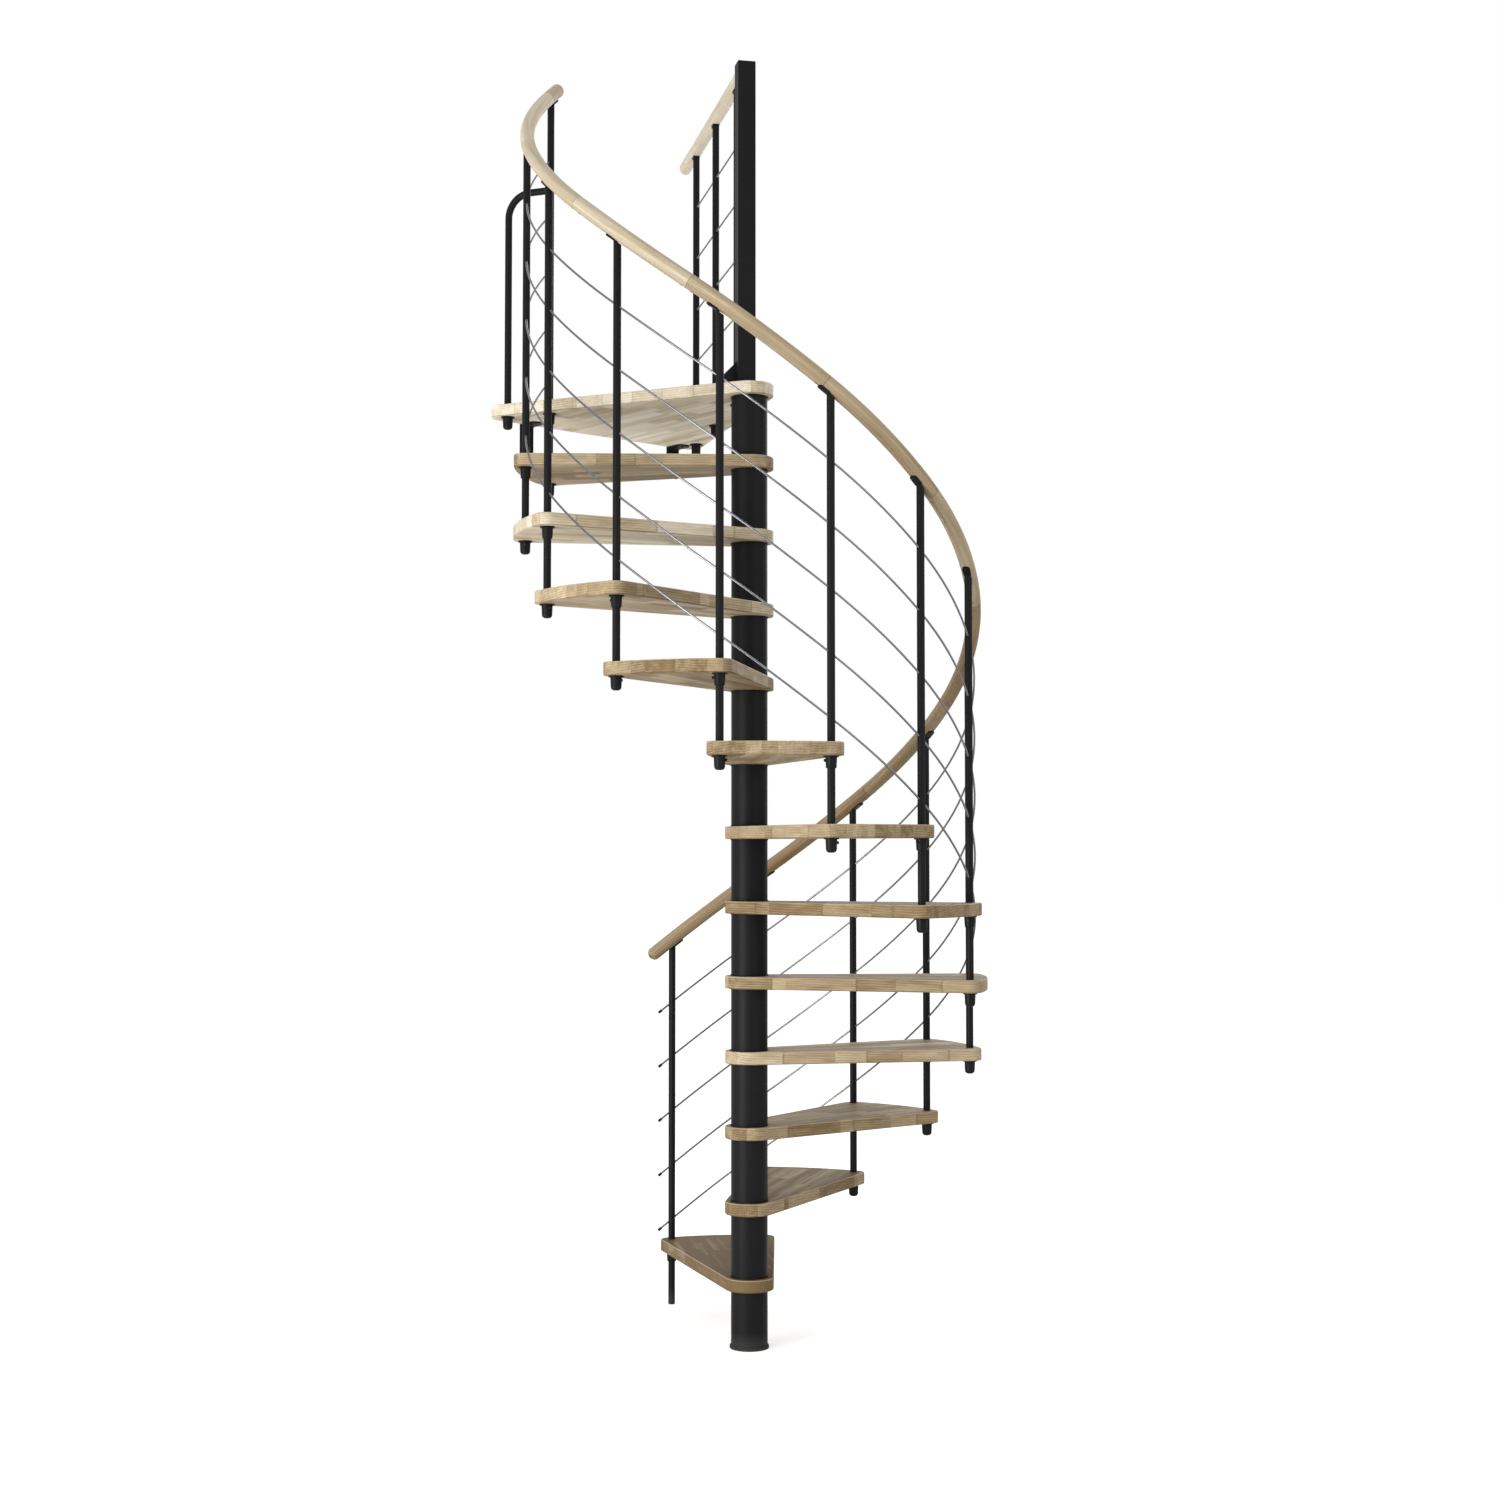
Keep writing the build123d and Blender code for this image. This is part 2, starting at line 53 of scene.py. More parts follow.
def add(tree, kind, inputs=None, out=0, **settings):
    """Adds a node with its settings and links, and gives one of its outputs."""
    node = tree.nodes.new("ShaderNode" + kind)
    for key, value in settings.items():
        setattr(node, key, value)
    for key, value in (inputs or {}).items():
        if isinstance(value, bpy.types.NodeSocket):
            tree.links.new(value, node.inputs[key])
        else:
            node.inputs[key].default_value = value
    return node.outputs[out] if node.outputs else node


def start_material(name):
    """An empty node material with its tree and its shader."""
    material = bpy.data.materials.new(name)
    material.use_nodes = True
    tree = material.node_tree
    tree.nodes.clear()
    surface = add(tree, "BsdfPrincipled")
    add(tree, "OutputMaterial", {"Surface": surface})
    return material, tree, surface.node


def dress_node(name, material):
    """Gives a CAD node its finish."""
    node = frame["nodes"][name]
    for slot in node.material_slots:
        slot.material = material
    if not node.material_slots:
        node.data.materials.append(material)


def oak_surface(tree, shader, along, across, depth, piece, joint, shade, deep, figure):
    """Oak with its grain along one coordinate, where each piece has its own tone and its own grain.

    A higher shade darkens the whole piece, and callers use it for the wood's tone and for painted
    shade; the figure is the strength of rings, pores, and the painted highlight and painted shade on
    the roundings.
    """
    cream, pale, middle = linear("e6e0d3"), linear("cdc1aa"), linear("a69476")
    # the dark colour is for glue lines and for painted shade on lower roundings, and the pale one is
    # for the painted highlight on upper roundings
    glue_and_edge_shade, worn_edge_highlight = linear("3f3324"), linear("e2d8c2")
    # a random number for each piece sets its tone, and a random shift of up to 7 m sets its grain
    random_tone = add(tree, "TexWhiteNoise", {"Vector": piece}, out="Value", noise_dimensions="3D")
    random_place = {0: random_tone.node.outputs["Color"], 1: (7.3, 7.3, 7.3)}
    random_place = add(tree, "VectorMath", random_place, operation="MULTIPLY")
    board_place = add(tree, "CombineXYZ", {"X": along, "Y": across, "Z": depth})
    place = add(tree, "VectorMath", {0: board_place, 1: random_place}, operation="ADD")
    # streaks 10 to 30 mm wide across the stave, which wander over half a metre along it
    streak_place = add(tree, "Mapping", {"Vector": place, "Scale": (1.6, 30.0, 30.0)})
    wander = {"Vector": streak_place, "Scale": 2.0, "Detail": 4.0, "Roughness": 0.6, "Distortion": 0.3}
    streaks = add(tree, "TexNoise", wander)
    # growth rings are 2 mm apart and are drawn 7 mm apart so that they show, round a pith outside
    # the stave, as lines on faces and arcs on ends
    pith = {0: random_place, 1: (0.0, 0.022, 0.022), 2: (0.0, -0.14, 0.03)}
    pith = add(tree, "VectorMath", pith, operation="MULTIPLY_ADD")
    ring_place = add(tree, "VectorMath", {0: board_place, 1: pith}, operation="ADD")
    ring_place = add(tree, "Mapping", {"Vector": ring_place, "Scale": (0.05, 1.0, 1.0)})
    wave = {"Vector": ring_place, "Scale": 45.0, "Distortion": 1.6, "Detail": 2.0, "Detail Scale": 0.3}
    rings = add(tree, "TexWave", wave, out="Fac", wave_type="RINGS", rings_direction="X")
    # open pores are 0.3 mm wide, and are drawn 4 mm wide and 0.1 m long so that they show
    pore_place = add(tree, "Mapping", {"Vector": place, "Scale": (9.0, 220.0, 220.0)})
    pores = add(tree, "TexNoise", {"Vector": pore_place, "Scale": 1.0, "Detail": 2.0, "Roughness": 0.5})
    tone = add(tree, "MapRange", {"Value": random_tone, "To Min": -0.11, "To Max": 0.15})
    tone = add(tree, "Math", {0: tone, 1: shade}, operation="ADD")
    level = add(tree, "Math", {0: streaks, 1: 0.55, 2: tone}, operation="MULTIPLY_ADD")
    level = add(tree, "Math", {0: rings, 1: 0.14 * figure, 2: level}, operation="MULTIPLY_ADD")
    colour = add(tree, "ValToRGB", {"Fac": level})
    ramp = colour.node.color_ramp
    ramp.elements[0].position, ramp.elements[0].color = 0.0, cream
    ramp.elements[1].position, ramp.elements[1].color = 0.9, deep
    ramp.elements.new(0.28).color = pale
    ramp.elements.new(0.55).color = middle
    filled = {"Value": pores, "From Min": 0.5, "From Max": 0.75, "To Max": 0.17 * figure}
    layers = [(add(tree, "MapRange", filled), deep)]
    height = pores
    if joint is not None:
        # upper roundings are paled as a painted highlight, where the lacquer also thins, and lower
        # roundings get a dark line of painted shade
        normal = add(tree, "NewGeometry", out="Normal")
        tilt = add(tree, "SeparateXYZ", {"Vector": normal}, out="Z")
        upper_edge_highlight = add(tree, "Math", {0: tilt, 1: 0.62, 2: 0.28}, operation="COMPARE")
        upper_edge_highlight = add(tree, "MapRange", {"Value": upper_edge_highlight, "To Max": 0.3 * figure ** 2})
        lower_edge_shade = add(tree, "Math", {0: tilt, 1: -0.6, 2: 0.3}, operation="COMPARE")
        lower_edge_shade = add(tree, "MapRange", {"Value": lower_edge_shade, "To Max": 0.45 * figure})
        layers += [(upper_edge_highlight, worn_edge_highlight), (lower_edge_shade, glue_and_edge_shade), (joint, glue_and_edge_shade)]
        height = add(tree, "Math", {0: pores, 1: joint}, operation="SUBTRACT")
    for mask, layer in layers:
        mix = {"Factor": mask, "A": colour, "B": layer}
        colour = add(tree, "Mix", mix, out="Result", data_type="RGBA")
    tree.links.new(colour, shader.inputs["Base Color"])
    gloss = add(tree, "MapRange", {"Value": streaks, "To Min": 0.48, "To Max": 0.64})
    tree.links.new(gloss, shader.inputs["Roughness"])
    relief = add(tree, "Bump", {"Height": height, "Strength": 0.05, "Distance": 0.0004})
    tree.links.new(relief, shader.inputs["Normal"])
    shader.inputs["Specular IOR Level"].default_value = 0.16
    shader.inputs["Coat Weight"].default_value = 0.03
    shader.inputs["Coat Roughness"].default_value = 0.35


def panel_material(name, heading, seed, shade):
    """Stave panel whose staves run along a compass heading of the floor plan."""
    stave_width, stave_length, glue_line = 0.043, 0.21, 0.0008
    finger_pitch, finger_depth = 0.007, 0.008
    material, tree, shader = start_material(name)
    place = add(tree, "TexCoord", out="Object")
    turned = add(tree, "Mapping", {"Vector": place, "Rotation": (0, 0, -math.radians(heading))})
    axes = add(tree, "SeparateXYZ", {"Vector": turned}).node.outputs
    staves = add(tree, "Math", {0: axes["Y"], 1: stave_width}, operation="DIVIDE")
    stave = add(tree, "Math", {0: staves}, operation="FLOOR")
    # each row of staves is shifted by a random part of its length
    row = add(tree, "CombineXYZ", {"X": stave, "Y": float(seed)})
    stagger = add(tree, "TexWhiteNoise", {"Vector": row}, out="Value")
    stagger = add(tree, "Math", {0: stagger, 1: 5.0}, operation="MULTIPLY")
    # finger joints zigzag on the faces of the board and are straight lines on its sides
    finger = add(tree, "Math", {0: axes["Y"], 1: finger_pitch / 2}, operation="PINGPONG")
    finger_slope = 2 * finger_depth / finger_pitch
    finger = add(tree, "Math", {0: finger, 1: finger_slope, 2: axes["X"]}, operation="MULTIPLY_ADD")
    run = add(tree, "Math", {0: finger, 1: 1 / stave_length, 2: stagger}, operation="MULTIPLY_ADD")
    length = add(tree, "Math", {0: run}, operation="FLOOR")
    piece = add(tree, "CombineXYZ", {"X": length, "Y": stave, "Z": float(seed)})
    joints = []
    for value, width in ((staves, glue_line / stave_width), (run, glue_line / stave_length)):
        from_edge = add(tree, "Math", {0: value}, operation="FRACT")
        from_edge = add(tree, "Math", {0: from_edge, 1: 0.5}, operation="PINGPONG")
        line = {"Value": from_edge, "From Max": width, "To Min": 0.4, "To Max": 0.0}
        joints.append(add(tree, "MapRange", line))
    joint = add(tree, "Math", {0: joints[0], 1: joints[1]}, operation="MAXIMUM")
    deep = linear("6f5a3a")
    oak_surface(tree, shader, axes["X"], axes["Y"], axes["Z"], piece, joint, shade, deep, figure=1.0)
    return material


tread_count = 12
total_turn, last_post_angle = 313.4, 90 + 27.9
step_angle = total_turn / tread_count
first_post_angle = last_post_angle + total_turn - 360
# each board's shade is partly the wood's own tone and partly painted shade, which makes most boards
# near the bottom darker than those near the top
board_shades = (0.6, 0.42, 0.36, 0.22, 0.3, 0.42, 0.36, 0.32, 0.4, 0.22, 0.02, 0.3)
for number, shade in enumerate(board_shades, start=1):
    heading = first_post_angle - (number - 0.5) * step_angle
    dress_node(f"tread_{number:02}", panel_material(f"oak_panel_{number:02}", heading, number, shade))
# the landing is paled a little in the same way, partly by its tone and partly by painted light
landing_panel = panel_material("oak_panel_landing", heading=90, seed=tread_count + 1, shade=-0.05)
dress_node("landing", landing_panel)


# Column, balusters, newel post, hoop and brackets: steel tube and plate with black powder coat.
# The baked powder has a fine orange peel, a satin gloss, and a little pale dust near the floor.
def powder_material(name, grain, roughness):
    """Black powder coat, whose orange peel has a real grain size in metres."""
    material, tree, shader = start_material(name)
    place = add(tree, "TexCoord", out="Object")
    peel = add(tree, "TexNoise", {"Vector": place, "Scale": 1 / grain, "Detail": 2.0})
    cloud = add(tree, "TexNoise", {"Vector": place, "Scale": 7.0, "Detail": 4.0})
    scuff_place = add(tree, "Mapping", {"Vector": place, "Scale": (90.0, 90.0, 14.0)})
    scuffs = add(tree, "TexNoise", {"Vector": scuff_place, "Scale": 2.0, "Detail": 3.0})
    scuffs = add(tree, "MapRange", {"Value": scuffs, "From Min": 0.66, "From Max": 0.74, "To Max": 0.1})
    height = add(tree, "SeparateXYZ", {"Vector": place}, out="Z")
    dust = add(tree, "MapRange", {"Value": height, "From Min": 0.05, "From Max": 0.0, "To Max": 0.12})
    shade = linear("131314")
    for mask, layer in ((cloud, "1a1a1b"), (scuffs, "3a3a3a"), (dust, "8f8b84")):
        mix = {"Factor": mask, "A": shade, "B": linear(layer)}
        shade = add(tree, "Mix", mix, out="Result", data_type="RGBA")
    tree.links.new(shade, shader.inputs["Base Color"])
    gloss = {"Value": cloud, "To Min": roughness - 0.06, "To Max": roughness + 0.08}
    gloss = add(tree, "MapRange", gloss)
    tree.links.new(gloss, shader.inputs["Roughness"])
    relief = add(tree, "Bump", {"Height": peel, "Strength": 0.03, "Distance": 0.0002})
    tree.links.new(relief, shader.inputs["Normal"])
    shader.inputs["Specular IOR Level"].default_value = 0.1
    return material


powder = powder_material("black_powder_coat", grain=0.0022, roughness=0.45)
balusters = [f"baluster_{number:02}" for number in range(1, tread_count + 2)]
column_nodes = ["floor_plate", "centre_pole", "column_spacers"]
newel_nodes = ["newel_post", "newel_foot", "newel_cap", "guard_posts"]
landing_nodes = ["landing_hoop", "wall_brackets"]
for name in column_nodes + newel_nodes + landing_nodes + balusters:
    dress_node(name, powder)


# Fittings under the boards: die-cast collars and sockets, coated black and a little glossier.
# A clamp screw with a hexagon socket holds each baluster, and sits in the end of the fitting's boss.
def pick(piece):
    """Makes a piece the only one that is selected and active."""
    bpy.ops.object.select_all(action="DESELECT")
    piece.select_set(True)
    bpy.context.view_layer.objects.active = piece


def select_top(piece):
    """Selects a piece's top faces, and leaves it in edit mode."""
    pick(piece)
    bpy.ops.object.mode_set(mode="EDIT")
    bpy.ops.mesh.select_mode(type="FACE")
    bpy.ops.mesh.select_all(action="DESELECT")
    bpy.ops.object.mode_set(mode="OBJECT")
    for face in piece.data.polygons:
        face.select = face.normal.z > 0.9
    bpy.ops.object.mode_set(mode="EDIT")


def cylinder(sides, radius, thickness, middle):
    """Cylinder along Z, with the height of its middle over the origin."""
    bpy.ops.object.select_all(action="DESELECT")
    place = (0, 0, middle)
    bpy.ops.mesh.primitive_cylinder_add(vertices=sides, radius=radius, depth=thickness, location=place)
    return bpy.context.object


def socket_screw(radius, thickness):
    """Low round screw head with a hexagon socket, which stands on the XY plane."""
    rounding, cutter_radius, cutter_height = thickness * 0.4, radius * 0.52, thickness * 1.2
    head = cylinder(sides=20, radius=radius, thickness=thickness, middle=thickness / 2)
    select_top(head)
    bpy.ops.mesh.bevel(offset=rounding, segments=2, affect="EDGES")
    bpy.ops.object.mode_set(mode="OBJECT")
    cutter = cylinder(sides=6, radius=cutter_radius, thickness=cutter_height, middle=thickness)
    socket = head.modifiers.new("socket", "BOOLEAN")
    socket.object = cutter
    pick(head)
    bpy.ops.object.transform_apply(location=True, rotation=True, scale=True)
    bpy.ops.object.modifier_apply(modifier="socket")
    bpy.data.objects.remove(cutter)
    return head


def repeat(source, places, name):
    """Copies of a piece at each place, joined into one object, with the places in its mesh."""
    copies = []
    for place in places:
        copy = bpy.data.objects.new(name, source.data.copy())
        copy.data.transform(place)
        bpy.context.scene.collection.objects.link(copy)
        copies.append(copy)
    bpy.data.objects.remove(source)
    bpy.ops.object.select_all(action="DESELECT")
    for copy in copies:
        copy.select_set(True)
    bpy.context.view_layer.objects.active = copies[0]
    bpy.ops.object.join()
    joined = bpy.context.object
    joined.name = name
    return joined


def finish_piece(piece, material):
    """Gives a new piece its finish, smooths its round faces and fixes it to the stair."""
    piece.data.materials.clear()
    piece.data.materials.append(material)
    pick(piece)
    bpy.ops.object.shade_smooth_by_angle(angle=math.radians(35))
    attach(piece, "root")


def facing(point, direction):
    """Place at a point with local Z along a direction."""
    turn = Vector(direction).to_track_quat("Z", "Y")
    return Matrix.Translation(point) @ turn.to_matrix().to_4x4()


def heading_vector(angle):
    """Level direction at a compass angle in degrees."""
    return Vector((math.cos(math.radians(angle)), math.sin(math.radians(angle)), 0))


def middle_of(name):
    """Centre of a CAD node's box."""
    low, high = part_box(name)
    return (low + high) / 2


fitting = powder_material("black_cast_fitting", grain=0.0015, roughness=0.38)
for name in ("nose_collars", "rear_sockets", "landing_sockets"):
    dress_node(name, fitting)

boss_reach, boss_drop = 0.020, 0.013
post_angles = [first_post_angle - k * step_angle for k in range(tread_count + 1)]
boards = [f"tread_{number:02}" for number in range(1, tread_count + 1)] + ["landing"]
screw_places = []
for k, angle in enumerate(post_angles):
    post = middle_of(balusters[k])
    nose_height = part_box(boards[k])[0].z - boss_drop
    outward = heading_vector(angle - 90)
    screw_point = Vector((post.x, post.y, nose_height)) + outward * boss_reach
    screw_places.append(facing(screw_point, outward))
    if k > 0:
        rear_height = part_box(boards[k - 1])[0].z - boss_drop
        screw_point = Vector((post.x, post.y, rear_height)) - outward * boss_reach
        screw_places.append(facing(screw_point, -outward))
clamp_screws = repeat(socket_screw(radius=0.0031, thickness=0.0012), screw_places, "clamp_screws")


# Screw and bolt steel: blackened by oil and heat, and greyer where a tool has rubbed it.
# All screws and bolts on the stair have this finish.
def black_oxide_material():
    """Blackened steel with grey wear in patches a few millimetres wide."""
    material, tree, shader = start_material("black_oxide_steel")
    place = add(tree, "TexCoord", out="Object")
    rub = add(tree, "TexNoise", {"Vector": place, "Scale": 300.0, "Detail": 3.0})
    mix = {"Factor": rub, "A": linear("1d1d1f"), "B": linear("4b4b4d")}
    shade = add(tree, "Mix", mix, out="Result", data_type="RGBA")
    tree.links.new(shade, shader.inputs["Base Color"])
    gloss = add(tree, "MapRange", {"Value": rub, "To Min": 0.32, "To Max": 0.5})
    tree.links.new(gloss, shader.inputs["Roughness"])
    shader.inputs["Metallic"].default_value = 0.8
    return material


black_oxide = black_oxide_material()
finish_piece(clamp_screws, black_oxide)


# Handrail: round oak bar glued up in lengths, worked to 42 mm, sanded and lacquered like the treads.
# The grain follows the climb, so the pattern is laid out along the rail's own line.
rise, post_circle, first_level, rail_height = 0.220, 0.665, 0.207, 0.963
step_arc = post_circle * math.radians(step_angle)
climb_pitch = math.atan2(rise, step_arc)
climb_length = math.hypot(rise, step_arc)
rail_start, rail_segment = -6.7 / step_angle, 31.8 / step_angle
rail_deep = linear("775e3e")


def handrail_material():
    """Oak whose grain and glue joints follow the climb of the handrail."""
    glue_line = 0.0012
    material, tree, shader = start_material("oak_handrail")
    axes = add(tree, "SeparateXYZ", {"Vector": add(tree, "TexCoord", out="Object")}).node.outputs
    # the climb in steps from the first baluster, which begins a little before it and fills one turn
    lead_in, turn_steps = 0.6, 360 / step_angle
    angle = add(tree, "Math", {0: axes["Y"], 1: axes["X"]}, operation="ARCTAN2")
    to_steps = {0: angle, 1: -math.degrees(1) / step_angle, 2: first_post_angle / step_angle}
    steps = add(tree, "Math", to_steps, operation="MULTIPLY_ADD")
    steps = add(tree, "Math", {0: steps, 1: turn_steps - lead_in, 2: -lead_in}, operation="WRAP")
    square = add(tree, "Math", {0: axes["Y"], 1: axes["Y"]}, operation="MULTIPLY")
    square = add(tree, "Math", {0: axes["X"], 1: axes["X"], 2: square}, operation="MULTIPLY_ADD")
    reach = add(tree, "Math", {0: square}, operation="SQRT")
    across = add(tree, "Math", {0: reach, 1: post_circle}, operation="SUBTRACT")
    line_height = {0: steps, 1: rise, 2: first_level + rail_height}
    line_height = add(tree, "Math", line_height, operation="MULTIPLY_ADD")
    over = add(tree, "Math", {0: axes["Z"], 1: line_height}, operation="SUBTRACT")
    depth = add(tree, "Math", {0: over, 1: math.cos(climb_pitch)}, operation="MULTIPLY")
    along = add(tree, "Math", {0: over, 1: math.sin(climb_pitch)}, operation="MULTIPLY")
    along = add(tree, "Math", {0: steps, 1: climb_length, 2: along}, operation="MULTIPLY_ADD")
    segment = rail_segment * climb_length
    run = {0: along, 1: 1 / segment, 2: -rail_start / rail_segment}
    run = add(tree, "Math", run, operation="MULTIPLY_ADD")
    length = add(tree, "Math", {0: run}, operation="FLOOR")
    piece = add(tree, "CombineXYZ", {"X": length, "Y": 31.0, "Z": 5.0})
    from_joint = add(tree, "Math", {0: run}, operation="FRACT")
    from_joint = add(tree, "Math", {0: from_joint, 1: 0.5}, operation="PINGPONG")
    line = {"Value": from_joint, "From Max": glue_line / segment, "To Min": 0.8, "To Max": 0.0}
    joint = add(tree, "MapRange", line)
    # the lower lengths are darker and browner: painted shade that darkens the rail towards its foot,
    # with some of the wood's own tone
    low_lengths_painted_shade = {"Value": run, "From Min": 2.0, "From Max": 10.0, "To Min": 0.42, "To Max": 0.02}
    shade = add(tree, "MapRange", low_lengths_painted_shade)
    oak_surface(tree, shader, along, across, depth, piece, joint, shade, rail_deep, figure=0.5)
    return material


dress_node("handrail", handrail_material())


# Guard rail: straight round oak bar of the same make as the handrail, in one length.
# Its grain runs along it, away from the newel post.
newel_centre, guard_centre = middle_of("newel_post"), middle_of("guard_rail")
guard_way = guard_centre - newel_centre
guard_way.z = 0
guard_way.normalize()


def guard_rail_material():
    """Oak with its grain along the guard."""
    material, tree, shader = start_material("oak_guard_rail")
    place = add(tree, "TexCoord", out="Object")
    guard_heading = math.atan2(guard_way.y, guard_way.x)
    turned = add(tree, "Mapping", {"Vector": place, "Rotation": (0, 0, -guard_heading)})
    axes = add(tree, "SeparateXYZ", {"Vector": turned}).node.outputs
    piece = add(tree, "CombineXYZ", {"X": 3.0, "Y": 8.0, "Z": 2.0})
    oak_surface(tree, shader, axes["X"], axes["Y"], axes["Z"], piece, None, 0.0, rail_deep, figure=0.4)
    return material


dress_node("guard_rail", guard_rail_material())


# Saddles: small pressed steel plates, coated black, welded to the balusters and hollowed to the rail.
# One screw on the uphill side of each holds the rail from below.
def climb_frame(steps):
    """Point on the handrail's axis, and the directions up along the rail and square to it."""
    angle = first_post_angle - steps * step_angle
    axis_point = heading_vector(angle) * post_circle
    axis_point.z = first_level + rail_height + steps * rise
    level_way = heading_vector(angle - 90)
    uphill = level_way * math.cos(climb_pitch) + Vector((0, 0, math.sin(climb_pitch)))
    upward = Vector((0, 0, math.cos(climb_pitch))) - level_way * math.sin(climb_pitch)
    return axis_point, uphill, upward


dress_node("rail_saddles", fitting)
rail_radius, saddle_thickness, saddle_screw_reach = 0.021, 0.003, 0.020
guard_post_distances = (0.116, 0.444, 0.772)
screw_places = []
for k in range(tread_count + 1):
    axis_point, uphill, upward = climb_frame(k)
    below = axis_point - upward * (rail_radius + saddle_thickness) + uphill * saddle_screw_reach
    screw_places.append(facing(below, -upward))
guard_posts_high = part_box("guard_posts")[1]
for distance in guard_post_distances:
    screw_point = newel_centre + guard_way * (distance + saddle_screw_reach)
    screw_point.z = guard_posts_high.z
    screw_places.append(facing(screw_point, (0, 0, -1)))
saddle_screws = repeat(socket_screw(radius=0.0036, thickness=0.0011), screw_places, "saddle_screws")
finish_piece(saddle_screws, black_oxide)


# Infill rods: drawn stainless steel bar, 6 mm thick, with a soft even gloss.
# The marks of the drawing die are too fine to show, and are drawn as patches 6 mm wide.
def stainless_material():
    """Stainless steel, a soft grey with slightly brighter and darker patches."""
    material, tree, shader = start_material("drawn_stainless_steel")
    place = add(tree, "TexCoord", out="Object")
    marks = add(tree, "TexNoise", {"Vector": place, "Scale": 160.0, "Detail": 3.0})
    mix = {"Factor": marks, "A": linear("7d7e80"), "B": linear("8f9092")}
    shade = add(tree, "Mix", mix, out="Result", data_type="RGBA")
    tree.links.new(shade, shader.inputs["Base Color"])
    gloss = add(tree, "MapRange", {"Value": marks, "To Min": 0.24, "To Max": 0.32})
    tree.links.new(gloss, shader.inputs["Roughness"])
    shader.inputs["Metallic"].default_value = 1.0
    return material


stainless = stainless_material()
for name in ("rod_1", "rod_2", "rod_3", "rod_4", "rod_5", "guard_rods"):
    dress_node(name, stainless)


# Caps on the rods' lower ends and the plug under the first baluster: moulded black plastic.
# It has a fine matt mould texture and no gloss of its own.
def plastic_material():
    """Black moulded plastic with a fine matt grain."""
    material, tree, shader = start_material("moulded_black_plastic")
    place = add(tree, "TexCoord", out="Object")
    grain = add(tree, "TexNoise", {"Vector": place, "Scale": 900.0, "Detail": 2.0})
    mix = {"Factor": grain, "A": linear("19191a"), "B": linear("262626")}
    shade = add(tree, "Mix", mix, out="Result", data_type="RGBA")
    tree.links.new(shade, shader.inputs["Base Color"])
    relief = add(tree, "Bump", {"Height": grain, "Strength": 0.2, "Distance": 0.0002})
    tree.links.new(relief, shader.inputs["Normal"])
    shader.inputs["Roughness"].default_value = 0.6
    shader.inputs["Specular IOR Level"].default_value = 0.3
    return material


plastic = plastic_material()
dress_node("rod_caps", plastic)
dress_node("foot_plug", plastic)


# Handrail plugs: turned oak buttons that close the screw holes under each glue joint of the rail.
# Their end grain takes up more lacquer and looks darker than the rail.
def end_grain_material():
    """Darker oak end grain with patches of pores 2 mm wide."""
    material, tree, shader = start_material("oak_end_grain")
    place = add(tree, "TexCoord", out="Object")
    patches = add(tree, "TexNoise", {"Vector": place, "Scale": 500.0, "Detail": 3.0})
    mix = {"Factor": patches, "A": linear("6d5b43"), "B": linear("94815f")}
    shade = add(tree, "Mix", mix, out="Result", data_type="RGBA")
    tree.links.new(shade, shader.inputs["Base Color"])
    shader.inputs["Roughness"].default_value = 0.55
    return material


plug_radius, plug_height, plug_inset = 0.0045, 0.0016, 0.0008
joint_count, plug_distance = 10, 0.05
rail_plug = cylinder(sides=24, radius=plug_radius, thickness=plug_height, middle=plug_height / 2)
select_top(rail_plug)
bpy.ops.mesh.inset(thickness=0.0006, depth=0.0003)
bpy.ops.object.mode_set(mode="OBJECT")
bpy.ops.object.transform_apply(location=True, rotation=True, scale=True)
plug_places = []
for joint_number in range(1, joint_count + 1):
    for side in (-plug_distance, plug_distance):
        axis_point, uphill, upward = climb_frame(rail_start + joint_number * rail_segment + side)
        plug_places.append(facing(axis_point - upward * (rail_radius - plug_inset), -upward))
rail_plugs = repeat(rail_plug, plug_places, "rail_plugs")
finish_piece(rail_plugs, end_grain_material())


# Newel welds: the foot plate, post and fin are joined by hand-welded beads under the powder coat.
# Each bead is a row of overlapping scales, about 2 mm from one to the next.
scale_radius, scale_flatness, scale_pitch, scale_lean = 0.0027, 0.55, 0.002, 0.006
half_newel, fin_size, half_fin = 0.027, 0.062, 0.0025
bpy.ops.object.select_all(action="DESELECT")
bpy.ops.mesh.primitive_uv_sphere_add(segments=8, ring_count=6, radius=scale_radius, location=(0, 0, 0))
weld_scale = bpy.context.object
bpy.ops.object.mode_set(mode="EDIT")
bpy.ops.mesh.select_all(action="SELECT")
bpy.ops.transform.resize(value=(1.0, 1.0, scale_flatness))
bpy.ops.object.mode_set(mode="OBJECT")
side_way = Vector((-guard_way.y, guard_way.x, 0))
foot_top = Vector((newel_centre.x, newel_centre.y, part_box("newel_post")[0].z))
beads = []
for side in (-1, 1):
    fin_line = foot_top + guard_way * side * half_fin + side_way * half_newel
    beads.append((fin_line, fin_line + side_way * fin_size))
    beads.append((fin_line, fin_line + Vector((0, 0, fin_size))))
corners = [guard_way + side_way, guard_way - side_way, -guard_way - side_way, -guard_way + side_way]
for k, corner in enumerate(corners):
    beads.append((foot_top + corner * half_newel, foot_top + corners[(k + 1) % 4] * half_newel))
scale_places = []
for start, end in beads:
    count = round((end - start).length / scale_pitch)
    leaning = end - start + Vector((0, 0, scale_lean))
    for k in range(count + 1):
        scale_places.append(facing(start.lerp(end, k / count), leaning))
newel_welds = repeat(weld_scale, scale_places, "newel_welds")
finish_piece(newel_welds, powder)


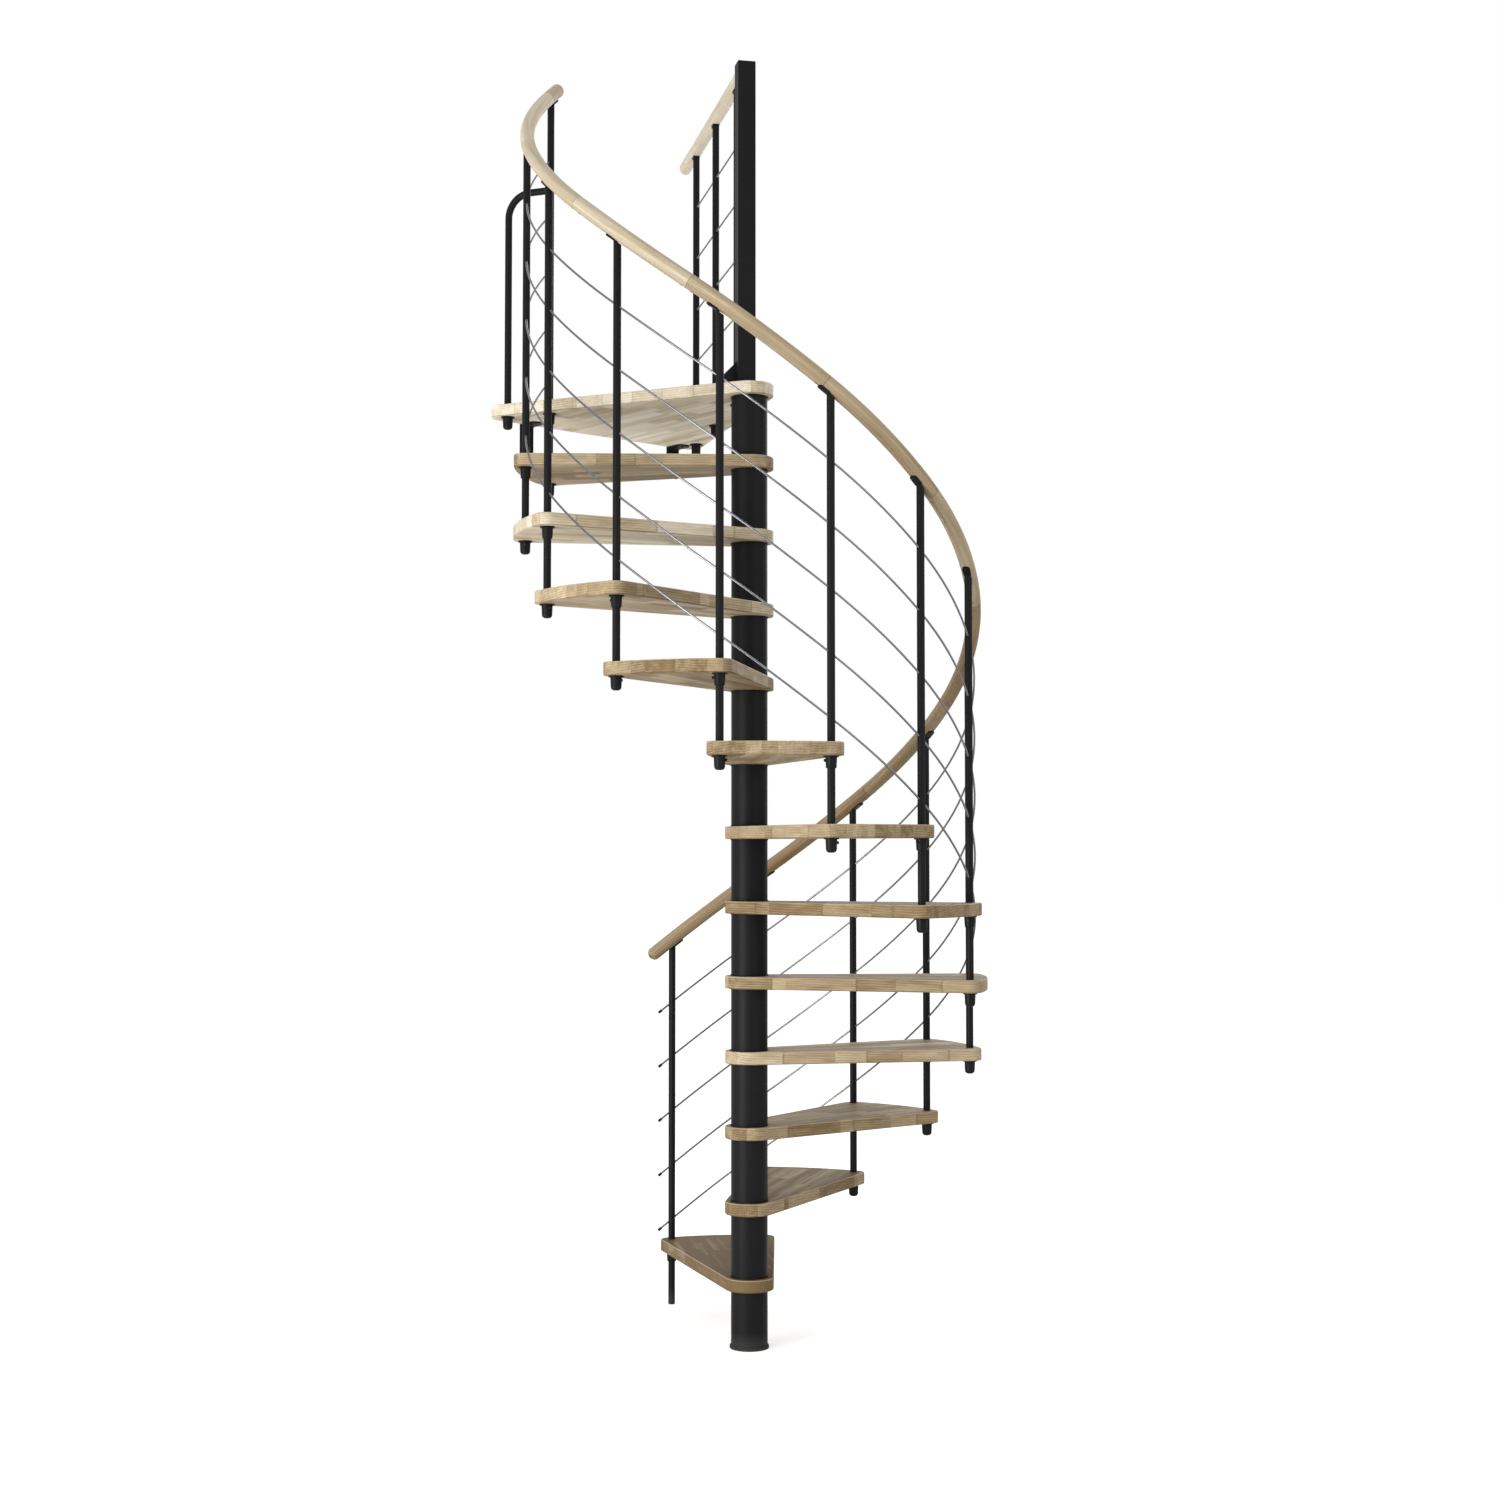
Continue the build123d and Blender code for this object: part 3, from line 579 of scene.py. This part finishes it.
# Bracket fixings: hexagon bolts with washers through the two wall brackets into the floor above, and
# two round-headed wood screws up through each bracket's plate into the landing.
anchor = next(mount for mount in frame["record"]["mounts"] if mount["name"] == "wall_bracket_bolts")
anchor_centre = Vector(anchor["pos_m"])
half_x = anchor["dims"]["spacing_x_mm"] / 2000
half_z = anchor["dims"]["spacing_y_mm"] / 2000
bracket_thickness, washer_thickness, head_height = 0.005, 0.002, 0.0064
head_middle = washer_thickness + head_height / 2
washer = cylinder(sides=32, radius=0.0105, thickness=washer_thickness, middle=washer_thickness / 2)
bolt = cylinder(sides=6, radius=0.0092, thickness=head_height, middle=head_middle)
select_top(bolt)
bpy.ops.mesh.inset(thickness=0.0012, depth=0.0006)
bpy.ops.object.mode_set(mode="OBJECT")
washer.select_set(True)
bolt.select_set(True)
bpy.context.view_layer.objects.active = bolt
bpy.ops.object.join()
bpy.ops.object.transform_apply(location=True, rotation=True, scale=True)
rim = bolt.modifiers.new("rim", "BEVEL")
rim.width = 0.0004
rim.segments = 2
bpy.ops.object.modifier_apply(modifier="rim")
bolt_places = []
for x in (-half_x, half_x):
    for z in (-half_z, half_z):
        bolt_places.append(facing(anchor_centre + Vector((x, -bracket_thickness, z)), (0, -1, 0)))
bracket_bolts = repeat(bolt, bolt_places, "bracket_bolts")
finish_piece(bracket_bolts, black_oxide)

plate_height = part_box("landing")[0].z - bracket_thickness
plate_screw_reaches = (0.026, 0.054)
screw_places = []
for x in (-half_x, half_x):
    for reach in plate_screw_reaches:
        screw_point = Vector((anchor_centre.x + x, anchor_centre.y - reach, plate_height))
        screw_places.append(facing(screw_point, (0, 0, -1)))
plate_screws = repeat(socket_screw(radius=0.0048, thickness=0.0024), screw_places, "plate_screws")
finish_piece(plate_screws, black_oxide)


# Studio: plain pale floor and background, broad soft lamps, and a camera fitted to the photo.
# The floor and the world look white to the camera, and light the stair at a plain level.
bpy.ops.object.select_all(action="DESELECT")
bpy.ops.mesh.primitive_circle_add(vertices=96, radius=60.0, fill_type="NGON", location=(0, 0, 0))
floor = bpy.context.object
floor.name = "studio_floor"
material, tree, shader = start_material("pale_floor")
camera_rays = add(tree, "LightPath", out="Is Camera Ray")
shader.inputs["Base Color"].default_value = linear("f2f2f1")
shader.inputs["Roughness"].default_value = 0.9
shader.inputs["Emission Color"].default_value = linear("ffffff")
lift = add(tree, "Math", {0: camera_rays, 1: 0.5}, operation="MULTIPLY")
tree.links.new(lift, shader.inputs["Emission Strength"])
floor.data.materials.append(material)

world = bpy.data.worlds.new("studio")
bpy.context.scene.world = world
world.use_nodes = True
tree = world.node_tree
tree.nodes.clear()
rays = add(tree, "LightPath").node.outputs
seen = {0: rays["Is Camera Ray"], 1: rays["Is Transmission Ray"]}
seen = add(tree, "Math", seen, operation="MAXIMUM")
glow = add(tree, "Background", {"Color": linear("ffffff"), "Strength": 0.74})
white = add(tree, "Background", {"Color": linear("ffffff"), "Strength": 1.0})
add(tree, "OutputWorld", {"Surface": add(tree, "MixShader", {0: seen, 1: glow, 2: white})})

view_heading, view_pitch = math.radians(40.8), math.radians(2.65)
right = Vector((math.cos(view_heading), -math.sin(view_heading), 0))
forward = Vector((math.sin(view_heading), math.cos(view_heading), 0))
lamp_target = Vector((0, 0, 2.5))
lamps = (
    ("key_lamp", forward * -3.2 + right * -3.4 + Vector((0, 0, 2.5)), 3.0, 62.0),
    ("under_lamp", forward * -2.8 + right * -2.8 + Vector((0, 0, 0.5)), 2.0, 140.0),
    ("fill_lamp", forward * -3.4 + right * 3.8 + Vector((0, 0, 2.8)), 3.0, 45.0),
    ("back_lamp", forward * 4.0 + right * 1.5 + Vector((0, 0, 4.0)), 3.0, 50.0),
)
for name, place, size, power in lamps:
    lamp = bpy.data.lights.new(name, "AREA")
    lamp.shape = "SQUARE"
    lamp.size = size
    lamp.energy = power
    holder = bpy.data.objects.new(name, lamp)
    bpy.context.scene.collection.objects.link(holder)
    holder.location = place
    holder.rotation_euler = (lamp_target - place).to_track_quat("-Z", "Y").to_euler()

camera_data = bpy.data.cameras.new("camera")
camera_data.sensor_width = 36.0
camera_data.lens = 52.11
camera = bpy.data.objects.new("camera", camera_data)
bpy.context.scene.collection.objects.link(camera)
camera_distance, camera_height, camera_shift = 6.4403, 1.456, 0.0019
camera.location = right * camera_shift - forward * camera_distance + Vector((0, 0, camera_height))
camera.rotation_euler = (math.pi / 2 + view_pitch, 0, -view_heading)
bpy.context.scene.camera = camera
bpy.context.scene.view_settings.view_transform = "Standard"
